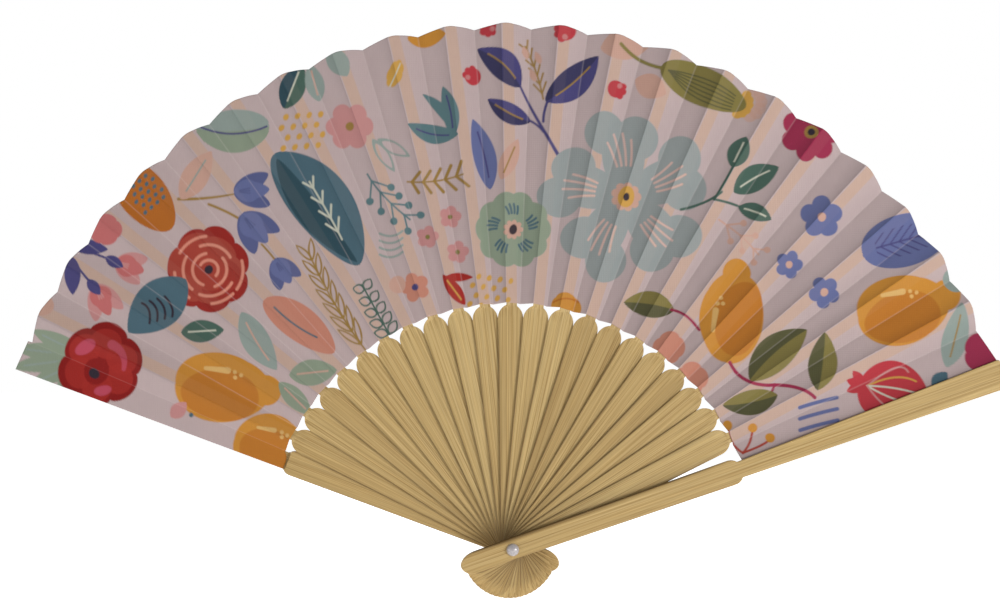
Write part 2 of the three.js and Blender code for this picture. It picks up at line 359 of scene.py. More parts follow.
def top_station(z, twisted):
    """The round top narrows to the rib, which twists to lie behind its panel of the leaf."""
    half = ellipse_half(z, SHOULDER_RADIUS, BLADE_TOP_RADIUS, SHOULDER_HALF_WIDTH)
    near = front_fold_x(z) + rib_inset(z)
    far = near + RIB_WIDTH
    near, far = min(near, -half), max(far, half)
    thinning = np.clip((z - SHOULDER_RADIUS) / (RIB_FLAT_RADIUS - SHOULDER_RADIUS), 0, 1)
    thickness = BLADE_THICKNESS + (RIB_THICKNESS - BLADE_THICKNESS) * thinning
    ends = []
    for x in (near, far):
        behind_leaf = rib_panel_y(x, z) + LEAF_TO_RIB
        ends.append(-thickness / 2 + (behind_leaf + thickness / 2) * twisted)
    return z, near, far, *ends, thickness


def stick_stations():
    """A stick from its head to its rib's end, which is a little rounded."""
    face = -BLADE_THICKNESS / 2
    halves = nose_stations(HEAD_REACH, HEAD_NOSE, HEAD_HALF_WIDTH)
    halves += [(z, blade_half(z)) for z in (-9, -5, 0, 5, 15, 30, 45, 60, 75, 86)]
    stations = [(z, -half, half, face, face, BLADE_THICKNESS) for z, half in halves]
    for z in np.linspace(SHOULDER_RADIUS, RIB_FLAT_RADIUS, 10):
        stations.append(top_station(z, 0))
    twist_length = RIB_TILTED_RADIUS - RIB_FLAT_RADIUS
    for share in np.linspace(0, 1, 15)[1:]:
        eased = share * share * (3 - 2 * share)
        stations.append(top_station(RIB_FLAT_RADIUS + twist_length * share, eased))
    for z in np.linspace(105, RIB_END_RADIUS - 0.8, 9):
        stations.append(top_station(z, 1))
    z, near, far, near_y, far_y, thickness = top_station(RIB_END_RADIUS, 1)
    stations.append((z, near + 0.5, far - 0.5, near_y, far_y, thickness))
    return stations


def guard_stations(outward, facing):
    """outward is 1 where the outer edge is on the right; facing is -1 for the front guard."""

    def lower_edges(z):
        """The left and right edges up to the shoulder, which lean out more on the inner side."""
        if z < 0:
            share = z / (GUARD_NOSE - GUARD_HEAD_REACH)
            end = GUARD_HEAD_HALF_WIDTH
        else:
            share = min(z / GUARD_SHOULDER_RADIUS, 1)
            end = GUARD_SHOULDER_HALF_WIDTH
        inner = -outward * (GUARD_WAIST_INNER + (end - GUARD_WAIST_INNER) * share)
        outer = outward * (GUARD_WAIST_OUTER + (end - GUARD_WAIST_OUTER) * share)
        return min(inner, outer), max(inner, outer)

    def upper_edges(z):
        inner = -outward * GUARD_INNER_EDGE_PER_RADIUS * z
        outer = outward * guard_outer_edge(z)
        return min(inner, outer), max(inner, outer)

    stations = []

    def add(z, left, right, inner_face):
        y0, y1 = sorted((facing * inner_face, facing * GUARD_OUTER_FACE))
        stations.append((z, left, right, y0, y0, y1 - y0))

    for z, half in nose_stations(GUARD_HEAD_REACH, GUARD_NOSE, GUARD_HEAD_HALF_WIDTH):
        add(z, -half, half, -GUARD_INNER_FACE)
    for z in (-10, -5, 0, 5, 15, 30, 45, 60, 75, 88, GUARD_SHOULDER_RADIUS):
        add(z, *lower_edges(z), -GUARD_INNER_FACE)
    top = GUARD_TOP_RADIUS - GUARD_SHOULDER_RADIUS
    for angle in np.linspace(0.12, math.pi / 2, 14):
        z = GUARD_SHOULDER_RADIUS + top * math.sin(angle)
        half = ellipse_half(z, GUARD_SHOULDER_RADIUS, GUARD_TOP_RADIUS, GUARD_SHOULDER_HALF_WIDTH)
        left, right = upper_edges(z)
        below_step = facing > 0 and z < BACK_GUARD_STEP_RADIUS
        inner_face = -GUARD_INNER_FACE if below_step else RELIEF_START
        add(z, min(-half, left), max(half, right), inner_face)
    for z in (*np.linspace(LEAF_INNER_RADIUS, GUARD_END_RADIUS - 0.6, 10), GUARD_END_RADIUS):
        inset = 0.45 if z == GUARD_END_RADIUS else 0
        left, right = upper_edges(z)
        add(z, left + inset, right - inset, relief_at(z))
    return stations


def edge_shade(local):
    """0 on a blade's middle and 1 on its long edges: painted shade where the sticks overlap."""
    half = np.array([blade_half(z) for z in local[:, 2]])
    near_edge = np.exp(-np.clip(half - abs(local[:, 0]), 0, None) / EDGE_SHADE_WIDTH)
    return near_edge * np.clip((SHOULDER_RADIUS - local[:, 2]) / 8, 0, 1)


def finish_wood(piece, index, tone):
    """Stores the wood's own coordinates, tone and painted edge shade, then turns the piece to its place."""
    piece.data.set_sharp_from_angle(angle=math.radians(32))
    local = vertices_of(piece) / MM
    store(piece, "grain", "FLOAT_VECTOR", local + np.array([41.0 * index, 0, 17.0 * index]))
    store(piece, "tone", "FLOAT", np.full(len(local), tone))
    store(piece, "edge", "FLOAT", edge_shade(local))
    world = placed(index, local[:, 0], local[:, 1], local[:, 2]) * MM
    piece.data.vertices.foreach_set("co", world.ravel())
    piece.data.update()


def build_sticks(bamboo):
    rng = np.random.default_rng(5)
    tones = rng.uniform(0, 1, INNER_STICKS + 1)
    for index in range(1, INNER_STICKS + 1):
        piece = bar(f"bamboo_stick_{index:02d}", stick_stations(), STICK_CORNER)
        drill(piece, RIVET_HOLE_RADIUS)
        piece.data.materials.append(bamboo)
        finish_wood(piece, index, tones[index])
        stand_for(piece, f"arm_{index:02d}", "bamboo_stick", f"stick_{index:02d}")


def build_guards(bamboo):
    guards = (
        ("bamboo_front_guard", "front_guard", 0, 1, -1, 0.35),
        ("bamboo_back_guard", "back_guard", BACK_GUARD, -1, 1, 0.2),
    )
    for name, node, index, outward, facing, tone in guards:
        piece = bar(name, guard_stations(outward, facing), GUARD_CORNER)
        drill(piece, RIVET_HOLE_RADIUS)
        piece.data.materials.append(bamboo)
        finish_wood(piece, index, tone)
        stand_for(piece, f"arm_{index:02d}", "bamboo_guard", node)


# ---- Rivet ----


def lathe(name, profile, segments=64):
    """A closed body turned about the y axis, from (radius, y) points that start and end on it."""
    inner = profile[1:-1]
    points = [(0, profile[0][1], 0)]
    for radius, y in inner:
        for turn in np.linspace(0, 2 * math.pi, segments, endpoint=False):
            points.append((radius * math.cos(turn), y, radius * math.sin(turn)))
    points.append((0, profile[-1][1], 0))
    last = len(points) - 1
    faces = []
    for i in range(segments):
        j = (i + 1) % segments
        faces.append((0, 1 + i, 1 + j))
        for r in range(len(inner) - 1):
            a = 1 + r * segments
            faces.append((a + i, a + segments + i, a + segments + j, a + j))
        a = 1 + (len(inner) - 1) * segments
        faces.append((a + j, a + i, last))
    piece = make_object(name, points, faces)
    piece.data.set_sharp_from_angle(angle=math.radians(40))
    return piece


def dome_profile():
    """(radius, height) from the rim to the tip: a small round rim, then the dome."""
    points = [(RIVET_HEAD_RADIUS - 0.08, 0)]
    for angle in np.linspace(0.02, math.pi / 2, 26)[:-1]:
        points.append((RIVET_HEAD_RADIUS * math.cos(angle), RIVET_HEAD_HEIGHT * math.sin(angle)))
    return points + [(0, RIVET_HEAD_HEIGHT)]


def build_rivet(pearl):
    front = [(r, -RIVET_SEAT - h) for r, h in reversed(dome_profile())]
    end = RIVET_SEAT + PIN_IN_CAP
    shaft = [(PIN_RADIUS, -RIVET_SEAT), (PIN_RADIUS, end - 0.2), (PIN_RADIUS - 0.2, end), (0, end)]
    pin = lathe("rivet_pin_pearl", front + shaft)
    bore_end = RIVET_SEAT + CAP_BORE_DEPTH
    bore = [(0, bore_end), (CAP_BORE_RADIUS, bore_end), (CAP_BORE_RADIUS, RIVET_SEAT)]
    cap = lathe("rivet_cap_pearl", bore + [(r, RIVET_SEAT + h) for r, h in dome_profile()])
    for piece, node in ((pin, "rivet_pin"), (cap, "rivet_cap")):
        piece.data.materials.append(pearl)
        stand_for(piece, f"arm_{MIDDLE_STICK:02d}", "rivet", node)


# ---- The leaf's surface ----


def smoothstep(low, high, value):
    t = np.clip((value - low) / (high - low), 0, 1)
    return t * t * (3 - 2 * t)


def waves(index, u, radius, seed):
    """Slow, shallow unevenness of hand-pleated cloth, about -1 to 1."""
    rng = np.random.default_rng(1000 * seed + index)
    total = np.zeros(np.broadcast(u, radius).shape)
    for _ in range(7):
        along, across = rng.uniform(0.05, 0.22), rng.uniform(-0.35, 0.35)
        phase, size = rng.uniform(0, 2 * math.pi), rng.uniform(0.3, 1)
        total = total + size * np.sin(along * radius + across * u + phase)
    return total / 3


def edge_radii(share, rib_side, direction):
    """Inner and outer radius across a panel: share is 0 on its front fold and 1 on its back."""
    outer = FRONT_FOLD_RADIUS + (BACK_FOLD_RADIUS - FRONT_FOLD_RADIUS) * share
    bulge = EDGE_BULGE if rib_side else FREE_EDGE_BULGE
    outer = outer + bulge * 4 * share * (1 - share)
    low, high = RIGHT_EDGE_DIRECTIONS
    outer = outer - RIGHT_EDGE_TRIM * np.clip((high - direction) / (high - low), 0, 1)
    inner = LEAF_INNER_RADIUS + INNER_EDGE_WAVE * (1 - 2 * share)
    return inner, outer


def radius_grid(share, rib_side, direction):
    inner, outer = edge_radii(share, rib_side, direction)
    rows = np.linspace(0, 1, LEAF_ROWS)[:, None]
    return inner + (outer - inner) * rows


def rib_panel(index):
    """The panel that is glued to a rib, as (points, blend weights, strip, crease)."""
    before = np.linspace(0, 1, 5)[:-1]
    strip_columns = np.linspace(0.012, 0.988, STRIP_COLUMNS)
    beyond = np.linspace(0, 1, MARGIN_COLUMNS + 1)[1:]
    inset_share = np.r_[before, np.ones(STRIP_COLUMNS + MARGIN_COLUMNS)]
    strip_share = np.r_[np.zeros(len(before)), strip_columns, np.ones(MARGIN_COLUMNS)]
    margin_share = np.r_[np.zeros(len(before) + STRIP_COLUMNS), beyond]

    def columns_at(radius):
        """Each column's distance from the front fold, the panel's width and the rib's edges."""
        inset = rib_inset(radius)
        far = inset + RIB_WIDTH
        width = back_fold_x(radius) - front_fold_x(radius)
        across = inset * inset_share + RIB_WIDTH * strip_share + (width - far) * margin_share
        return across, width, inset, far

    across, width, *_ = columns_at((LEAF_INNER_RADIUS + FRONT_FOLD_RADIUS) / 2)
    share = across / width
    direction = direction_of(index) + FRONT_FOLD - (FRONT_FOLD - BACK_FOLD) * share
    radius = radius_grid(share, True, direction)
    across, width, inset, far = columns_at(radius)
    x = front_fold_x(radius) + across
    y = rib_panel_y(x, radius)
    free = np.clip((across - far) / (width - far), 0, 1)
    y = y + RIB_PANEL_SAG * np.sin(math.pi * free) * radius / FRONT_FOLD_RADIUS
    y = y + WRINKLE * np.sin(math.pi * free) * waves(index, across, radius, 1)
    strip = smoothstep(-0.1, 0.1, across - inset) * smoothstep(-0.1, 0.1, far - across)
    crease = np.exp(-(((width - across) / WORN_LINE_WIDTH) ** 2))
    return placed(index, x, y, radius), np.ones(x.shape), strip, crease


def free_panel(index):
    """The panel between this stick's back fold and the next front fold, from left to right.

    Its share t is 1 on the back fold and 0 on the front fold of the stick on the right.
    """
    t = np.linspace(1, 0, FREE_COLUMNS + 1)[None, 1:]
    t = t + 0.35 * (t * (1 - t)) * (2 * t - 1)
    near_direction = direction_of(index) + BACK_FOLD
    far_direction = direction_of(index - 1) + FRONT_FOLD
    radius = radius_grid(t, False, far_direction + (near_direction - far_direction) * t)
    near, far = back_fold(index, radius), front_fold(index - 1, radius)
    points = far + (near - far) * t[..., None]
    points[..., 1] += FREE_PANEL_SAG * radius / FRONT_FOLD_RADIUS * sag_shape(t)
    points[..., 1] += WRINKLE * np.sin(math.pi * t) ** 2 * waves(index, 10 * t, radius, 2)
    width = np.linalg.norm(near - far, axis=-1)
    worn = np.exp(-((width * (1 - t) / WORN_LINE_WIDTH) ** 2))
    # Painted shade: darker towards the front fold on the right, and most along a thin line beside it.
    fold_shading = 0.65 * np.exp(-t / 0.22) + 0.6 * np.exp(-((width * t / SHADE_LINE_WIDTH) ** 2))
    weight = np.broadcast_to(t, radius.shape)
    return points, weight, np.zeros(radius.shape), worn - fold_shading


def sag_shape(t):
    """A bow that is 0 at both ends and 1 at its deepest, a third of the way from 0 to 1."""
    return 27 / 4 * t * (1 - t) ** 2


def guard_leaf_y(index, radius):
    """The fabric's front where it lies flat on a guard."""
    if index == 0:
        return GUARD_TO_LEAF - relief_at(radius)
    return relief_at(radius) - GUARD_TO_LEAF - CAD_LEAF_THICKNESS


def front_fold(index, radius):
    if index == 0:
        x = -GUARD_INNER_EDGE_PER_RADIUS * radius
        return placed(0, x, guard_leaf_y(0, radius), radius)
    return placed(index, front_fold_x(radius), fold_y(radius, -1), radius)


def back_fold(index, radius):
    if index == BACK_GUARD:
        x = GUARD_INNER_EDGE_PER_RADIUS * radius
        return placed(index, x, guard_leaf_y(index, radius), radius)
    return placed(index, back_fold_x(radius), fold_y(radius, 1), radius)


def guard_panel(index):
    """The strip at the leaf's end, flat on a guard; on the back guard it hides the step."""
    columns = np.linspace(0, 1, GUARD_COLUMNS)[None, :]
    if index == 0:
        radius = radius_grid(columns, False, direction_of(0))
        left = -GUARD_INNER_EDGE_PER_RADIUS * radius
        right = guard_outer_edge(radius) - LEAF_EDGE_INSIDE_GUARD
        weight = np.zeros(radius.shape)
    else:
        radius = radius_grid(0.3 * columns, False, direction_of(index))
        grow = (LEAF_INNER_RADIUS - BACK_GUARD_LEAF_INNER_RADIUS) * (1 - columns**4)
        radius = radius - grow * np.linspace(1, 0, LEAF_ROWS)[:, None]
        over_edge = guard_outer_edge(radius) + LEAF_OVER_GUARD_EDGE
        left = -np.maximum(radius * sideways(LEAF_EDGE_BEYOND_GUARD), over_edge)
        right = GUARD_INNER_EDGE_PER_RADIUS * radius
        weight = np.ones(radius.shape)
    x = left + (right - left) * columns
    points = placed(index, x, guard_leaf_y(index, radius), radius)
    return points, weight, np.zeros(radius.shape), np.zeros(radius.shape)


def grid_faces(rows, columns):
    """Quads that face the viewer in front, for points in rows outwards and columns rightwards."""
    index = np.arange(rows * columns).reshape(rows, columns)
    quads = [index[:-1, :-1], index[:-1, 1:], index[1:, 1:], index[1:, :-1]]
    return np.stack([q.ravel() for q in quads], 1).tolist()


def leaf_parts(index):
    """The leaf piece's grids joined side by side: points, weights, strip and crease."""
    if index == 0:
        panels = [guard_panel(0)]
    elif index == BACK_GUARD:
        panels = [guard_panel(index), free_panel(index)]
    else:
        panels = [rib_panel(index), free_panel(index)]
    return [np.concatenate([panel[i] for panel in panels], 1) for i in range(4)]


def cloth_piece(name, points, strip, crease):
    """The leaf's mesh, with its print, its folds' wear and its painted fold shade stored on the vertices."""
    rows, columns = points.shape[:2]
    flat = points.reshape(-1, 3)
    piece = make_object(name, flat, grid_faces(rows, columns))
    colour = paint(flat[:, 0], flat[:, 2])
    store(piece, "print", "FLOAT_COLOR", np.c_[colour, np.ones(len(flat))])
    store(piece, "ink", "FLOAT", np.clip(abs(colour - np.array(CLOTH)).max(1) / 0.1, 0, 1))
    store(piece, "strip", "FLOAT", strip)
    store(piece, "crease", "FLOAT", crease)
    return piece


def thicken(piece, front_cloth, back_cloth):
    """Gives the cloth its back, away from the front that was modelled."""
    piece.data.materials.append(front_cloth)
    piece.data.materials.append(back_cloth)
    cloth = piece.modifiers.new("cloth thickness", "SOLIDIFY")
    cloth.thickness, cloth.offset = FABRIC_THICKNESS * MM, -1
    cloth.material_offset, cloth.material_offset_rim = 1, 0


def follow_sticks(piece, index, points, weight):
    """The glued panel rides on its own stick, and the free one blends to its neighbour."""
    if index == 0:
        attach(piece, "arm_00")
        return
    arms = f"arm_{index - 1:02d}", f"arm_{index:02d}"
    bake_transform(piece, *arms, tuple(points[-1, -1] * MM), tuple(points[0, 0] * MM))
    attribute = piece.data.attributes["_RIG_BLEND"]
    attribute.data.foreach_set("value", weight.astype(np.float32).ravel())


def build_leaf(front_cloth, back_cloth):
    for index in range(BACK_GUARD + 1):
        points, weight, strip, crease = leaf_parts(index)
        node = f"leaf_pleat_{index:02d}" if index else "leaf_panel_00"
        piece = cloth_piece(f"fabric_{node}", points, strip, crease)
        thicken(piece, front_cloth, back_cloth)
        follow_sticks(piece, index, points, weight)
        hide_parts(node)


# ---- The print ----
# Places and sizes are millimetres, seen from the front; angles are degrees, 0 to the right.

CLOTH = srgb(176, 158, 157)
PRINT_EDGE = 0.4
STROKE_STEPS = 10
PETALS = 5
PETAL_LINE_WIDTH = 0.85

NAVY = srgb(66, 62, 108)
NAVY_SHADE = srgb(52, 50, 82)
TEAL = srgb(68, 94, 106)
TEAL_SHADE = srgb(42, 68, 78)
SPRIG_TEAL = srgb(82, 110, 114)
SAGE = srgb(128, 140, 121)
GREY_GREEN = srgb(132, 144, 138)
GREY_BLUE = srgb(138, 144, 143)
DARK_GREEN = srgb(66, 90, 80)
OLIVE = srgb(119, 109, 60)
OLIVE_SHADE = srgb(78, 77, 50)
MUSTARD = srgb(142, 112, 58)
BRIGHT_MUSTARD = srgb(188, 144, 68)
ORANGE = srgb(183, 126, 49)
ORANGE_SHADE = srgb(164, 94, 31)
ORANGE_LIGHT = srgb(198, 160, 98)
SALMON = srgb(180, 120, 101)
PEACH = srgb(184, 146, 131)
PETAL_LINE = srgb(192, 160, 151)
PINK = srgb(180, 127, 125)
TULIP = srgb(176, 98, 97)
ROSE = srgb(152, 59, 47)
ROSE_SHADE = srgb(138, 34, 28)
ROSE_LIGHT = srgb(200, 128, 108)
RED = srgb(150, 38, 32)
RED_SHADE = srgb(124, 20, 18)
RED_PINK = srgb(170, 66, 84)
BUD_RED = srgb(168, 52, 60)
CRIMSON = srgb(142, 42, 70)
BLUE = srgb(92, 99, 140)
BLUE_SHADE = srgb(80, 86, 126)
DARK = srgb(44, 36, 46)
PALE = srgb(184, 184, 168)


def polar(x, z, reach, angle):
    turn = math.radians(angle)
    return x + reach * math.cos(turn), z + reach * math.sin(turn)


class Print:
    """Flat-coloured motifs laid over the cloth, one over the other."""

    def __init__(self, x, z):
        self.x, self.z = x, z
        self.colour = np.tile(np.array(CLOTH), (len(x), 1))

    def near(self, x, z, reach):
        return np.flatnonzero((abs(self.x - x) < reach) & (abs(self.z - z) < reach))

    def lay(self, spots, distance, colour, strength=1.0):
        """Covers the spots that lie inside an outline: their distance to it is negative."""
        cover = np.clip(0.5 - distance / PRINT_EDGE, 0, 1) * strength
        self.colour[spots] += (np.array(colour) - self.colour[spots]) * cover[:, None]

    def turned(self, spots, x, z, angle):
        turn = math.radians(angle)
        across, up = self.x[spots] - x, self.z[spots] - z
        u = across * math.cos(turn) + up * math.sin(turn)
        return u, up * math.cos(turn) - across * math.sin(turn)

    def blob(self, x, z, size, colour, petals=0, notch=0.0, turn=0, squash=1.0, strength=1.0):
        """A round or oval shape, or a flower's outline when it has petals."""
        spots = self.near(x, z, size * 1.1 + 1)
        u, v = self.turned(spots, x, z, turn)
        angle = np.arctan2(v / squash, u)
        petal = abs(np.cos(petals * angle / 2)) ** 0.6 if petals else 1
        outline = size * (1 - notch + notch * petal)
        outline = outline * (1 + 0.03 * np.sin(2 * angle + x) + 0.02 * np.sin(3 * angle + z))
        self.lay(spots, (np.hypot(u, v / squash) - outline) * squash, colour, strength)

    def leaf(self, base, tip, width, colour, vein=None, shade=None, bend=0.0, ribs=0, blunt=0.75):
        """A pointed leaf: shade colours the half on its left, and ribs is their spacing."""
        length = math.dist(base, tip)
        middle = (base[0] + tip[0]) / 2, (base[1] + tip[1]) / 2
        spots = self.near(*middle, 0.55 * length + width)
        angle = math.degrees(math.atan2(tip[1] - base[1], tip[0] - base[0]))
        u, v = self.turned(spots, *base, angle)
        t = np.clip(u / length, 0, 1)
        v = v - bend * 4 * t * (1 - t)
        half = width / 2 * np.sin(math.pi * t**0.9) ** blunt
        outline = np.maximum(abs(v) - half, np.maximum(-u, u - length))
        self.lay(spots, outline, colour)
        if shade:
            self.lay(spots, np.maximum(outline, -v), shade)
        if vein:
            reach = np.maximum(0.16 - t, t - 0.82) * length
            self.lay(spots, np.maximum(abs(v) - 0.32, reach), vein)
            if ribs:
                phase = (u - abs(v) * 1.2) / ribs
                line = abs(phase - np.round(phase)) * ribs * 0.64 - 0.26
                reach = np.maximum(abs(v) - 0.55 * half, reach)
                self.lay(spots, np.maximum(line, reach), vein)

    def stroke(self, start, bend, end, width, colour, end_width=None, strength=1.0):
        """A brush stroke from start to end that bows towards the bend point."""
        end_width = end_width or width
        start, bend, end = np.array(start), np.array(bend), np.array(end)
        share = np.linspace(0, 1, STROKE_STEPS + 1)[:, None]
        path = start * (1 - share) ** 2 + bend * 2 * share * (1 - share) + end * share**2
        middle = path.mean(0)
        spots = self.near(*middle, np.ptp(path, 0).max() * 0.75 + width)
        here = np.c_[self.x[spots], self.z[spots]]
        nearest = np.full(len(spots), 1e3)
        for i in range(STROKE_STEPS):
            step = path[i + 1] - path[i]
            along = np.clip((here - path[i]) @ step / max(step @ step, 1e-9), 0, 1)
            away = np.linalg.norm(here - path[i] - along[:, None] * step, axis=1)
            thick = width + (end_width - width) * (i + along) / STROKE_STEPS
            nearest = np.minimum(nearest, away - thick / 2)
        self.lay(spots, nearest, colour, strength)

    def arc(self, x, z, radius, start, end, width, colour):
        spots = self.near(x, z, radius + width)
        u, v = self.turned(spots, x, z, (start + end) / 2)
        off = np.maximum(abs(np.degrees(np.arctan2(v, u))) - (end - start) / 2, 0)
        off = np.radians(off) * radius
        self.lay(spots, np.hypot(np.hypot(u, v) - radius, off) - width / 2, colour)

    # -- flowers

    def petal_lines(self, x, z, turn, near, far, spread, colour):
        """A fan of thin lines on each petal."""
        for petal in range(PETALS):
            middle = turn + 360 * petal / PETALS
            for step in (-1.5, -0.5, 0.5, 1.5):
                angle = middle + spread * step
                reach = far - (far - near) * 0.18 * abs(step)
                start, end = polar(x, z, near, angle), polar(x, z, reach, angle + 0.35 * spread)
                bend = polar(x, z, (near + reach) / 2, angle)
                self.stroke(start, bend, end, PETAL_LINE_WIDTH, colour)

    def wide_flower(self, x, z, size, colour, turn=0):
        """Five petals of two lobes each, with lines on them and a ringed centre."""
        for petal in range(PETALS):
            angle = turn + 360 * petal / PETALS
            for side, reach in ((-15, 0.68), (14, 0.76)):
                lobe = polar(x, z, size * reach, angle + side)
                self.blob(*lobe, size * 0.25, colour, turn=angle, squash=0.95)
                self.leaf((x, z), polar(x, z, size * 0.9, angle + 0.6 * side), size * 0.35, colour)
            self.blob(*polar(x, z, size * 0.56, angle), size * 0.23, colour)
        self.blob(x, z, size * 0.26, colour)
        self.petal_lines(x, z, turn, size * 0.36, size * 0.76, 8, PETAL_LINE)
        self.blob(x, z, size * 0.17, PEACH, 9, 0.2)
        self.blob(x, z, size * 0.12, BRIGHT_MUSTARD, turn=80, squash=0.8)
        self.blob(x, z, size * 0.045, DARK, turn=80, squash=0.8)

    def round_flower(self, x, z, size, colour, lines, turn=0):
        for petal in range(PETALS):
            for side in (-17, 17):
                place = polar(x, z, size * 0.62, turn + 360 * petal / PETALS + side)
                self.blob(*place, size * 0.36, colour)
        self.blob(x, z, size * 0.6, colour)
        self.petal_lines(x, z, turn, size * 0.42, size * 0.68, 10, lines)
        self.blob(x, z, size * 0.26, PEACH, 9, 0.3)
        self.blob(x, z, size * 0.13, DARK, turn=70, squash=0.8)

    def rose(self, x, z, size):
        self.blob(x, z, size, ROSE_SHADE, 7, 0.13, 20)
        self.blob(x - 0.1 * size, z + 0.02 * size, size * 0.86, ROSE, 6, 0.1, 50)
        self.blob(x + 0.3 * size, z - 0.28 * size, size * 0.52, ROSE_SHADE, strength=0.55)
        self.blob(x, z, size * 0.5, ROSE, 5, 0.08)
        petal_rims = (
            (0.22, -40, 150), (0.38, 100, 250), (0.42, -70, 40), (0.58, 30, 110), (0.6, 150, 230),
            (0.62, 250, 330), (0.78, 95, 150), (0.8, 185, 235), (0.8, -35, 15), (0.8, 275, 315),
        )
        for reach, start, end in petal_rims:
            self.arc(x, z, size * reach, start, end, size * 0.07, ROSE_LIGHT)
        self.blob(x, z, size * 0.1, DARK)

    def red_flower(self, x, z, size):
        self.blob(x, z, size, RED_SHADE, 6, 0.13, 15)
        for angle in (75, 135, 200, 260, 320, 15):
            self.blob(*polar(x, z, size * 0.52, angle), size * 0.36, RED, strength=0.8)
        self.blob(x - 0.35 * size, z + 0.42 * size, size * 0.26, RED_PINK, turn=30, squash=0.6)
        glint = [polar(x, z, size * r, angle) for r, angle in ((0.55, 60), (0.7, 25), (0.55, -10))]
        self.stroke(*glint, size * 0.22, RED_PINK, size * 0.1, 0.8)
        self.blob(x - 0.1 * size, z - 0.15 * size, size * 0.3, RED_SHADE)
        self.blob(x - 0.15 * size, z - 0.2 * size, size * 0.14, DARK, turn=-40, squash=0.8)
        self.blob(x + 0.05 * size, z - 0.6 * size, size * 0.2, RED_PINK, turn=10, squash=0.6)

    def small_flower(self, x, z, size, colour, petals=5, centre=PEACH, turn=90, dot=0.2):
        for petal in range(petals):
            place = polar(x, z, size * 0.56, turn + 360 * petal / petals)
            self.blob(*place, size * 2.1 / petals, colour)
        self.blob(x, z, size * 0.5, colour)
        self.blob(x, z, size * dot, centre)

    def tulip(self, base, tip, width, colour, shade):
        """Three petals that rise from a cup; base is where the stem ends."""
        length = math.dist(base, tip)
        angle = math.degrees(math.atan2(tip[1] - base[1], tip[0] - base[0]))
        for side, part in ((-24, shade), (24, shade), (0, colour)):
            end = polar(*base, length * (1.02 if side else 0.94), angle + side)
            self.leaf(base, end, width * 0.5, part, blunt=0.6)
        self.blob(*polar(*base, length * 0.36, angle), width * 0.33, colour)
        for side in (-9, 0, 9):
            start = polar(*base, length * 0.15, angle + side)
            end = polar(*base, length * 0.42, angle + side)
            self.stroke(start, start, end, 0.5, shade)

    def bud(self, x, z, size, turn):
        self.blob(x, z, size * 0.9, BUD_RED, turn=turn, squash=0.9)
        for side in (-38, 0, 38):
            self.blob(*polar(x, z, size * 0.75, turn + side), size * 0.34, BUD_RED)
        self.blob(*polar(x, z, size * 0.5, turn + 60), size * 0.25, PINK, strength=0.7)

    # -- leaves and sprigs

    def outlined_leaf(self, base, tip, width, colour):
        self.leaf(base, tip, width, colour)
        angle = math.degrees(math.atan2(tip[1] - base[1], tip[0] - base[0]))
        length = math.dist(base, tip)
        inner = polar(*base, length * 0.14, angle), polar(*base, length * 0.88, angle)
        self.leaf(*inner, width - 1.5, CLOTH)

    def sprig(self, start, bend, end, pairs, length, width, colour, leaf, splay=42):
        """A stem with pairs of leaves: leaf is the method that draws each one."""
        self.stroke(start, bend, end, 0.7, colour)
        start, bend, end = np.array(start), np.array(bend), np.array(end)
        for pair in range(pairs):
            t = (pair + 0.6) / pairs
            place = tuple(start * (1 - t) ** 2 + bend * 2 * t * (1 - t) + end * t * t)
            lean = (bend - start) * (1 - t) + (end - bend) * t
            angle = math.degrees(math.atan2(lean[1], lean[0]))
            for side in (-splay, splay):
                leaf(place, polar(*place, length * (1 - 0.25 * t), angle + side), width, colour)

    def twig(self, base, tip, width, colour):
        self.stroke(base, base, tip, width, colour, width * 1.2)

    def berry(self, base, tip, width, colour):
        self.stroke(base, base, tip, 0.7, colour)
        self.blob(*tip, width, colour)

    def dots(self, x, z, columns, rows, size, colour, turn=0):
        for column in range(columns):
            for row in range(rows):
                u = 3.3 * size * (column - (columns - 1) / 2) + (row % 2) * 1.5 * size
                v = 2.9 * size * (row - (rows - 1) / 2)
                reach, angle = math.hypot(u, v), math.degrees(math.atan2(v, u))
                self.blob(*polar(x, z, reach, angle + turn), size, colour, turn=60, squash=0.75)

    # -- fruit

    def fruit(self, x, z, size, squash, turn, nub=None):
        self.blob(x, z, size, ORANGE, 3, 0.04, turn, squash)
        if nub:
            self.blob(*nub, size * 0.3, ORANGE)
        side = polar(x, z, size * squash * 0.22, turn - 90)
        self.blob(*side, size * 0.8, ORANGE_SHADE, turn=turn, squash=squash * 0.92, strength=0.6)
        glow = polar(x, z, size * squash * 0.55, turn + 110)
        ends = polar(*glow, size * 0.22, turn), polar(*glow, size * 0.22, turn + 180)
        self.stroke(ends[0], glow, ends[1], size * 0.13, ORANGE_LIGHT, size * 0.08)
        for step, reach in ((55, 0.6), (42, 0.5), (38, 0.68)):
            self.blob(*polar(x, z, size * reach * squash, turn + step), 0.8, ORANGE_LIGHT)

    def split_fruit(self, x, z, size, turn):
        """A red fruit with a crown and pale stripes."""
        for spread in (-35, 0, 35):
            crown = polar(x, z, size * 0.85, turn)
            self.leaf(crown, polar(*crown, size * 0.55, turn + spread), size * 0.3, BUD_RED)
        self.blob(x, z, size, BUD_RED, turn=turn, squash=0.95)
        start = polar(x, z, size * 0.75, turn)
        stripes = ((-66, PINK), (-40, BRIGHT_MUSTARD), (-12, PALE), (14, PALE), (42, PINK))
        for step, colour in stripes:
            bend = polar(x, z, size * abs(step) / 62, turn + (90 if step > 0 else -90))
            end = polar(x, z, size * 0.78, turn + 180 - step)
            self.stroke(start, bend, end, 0.7, colour)

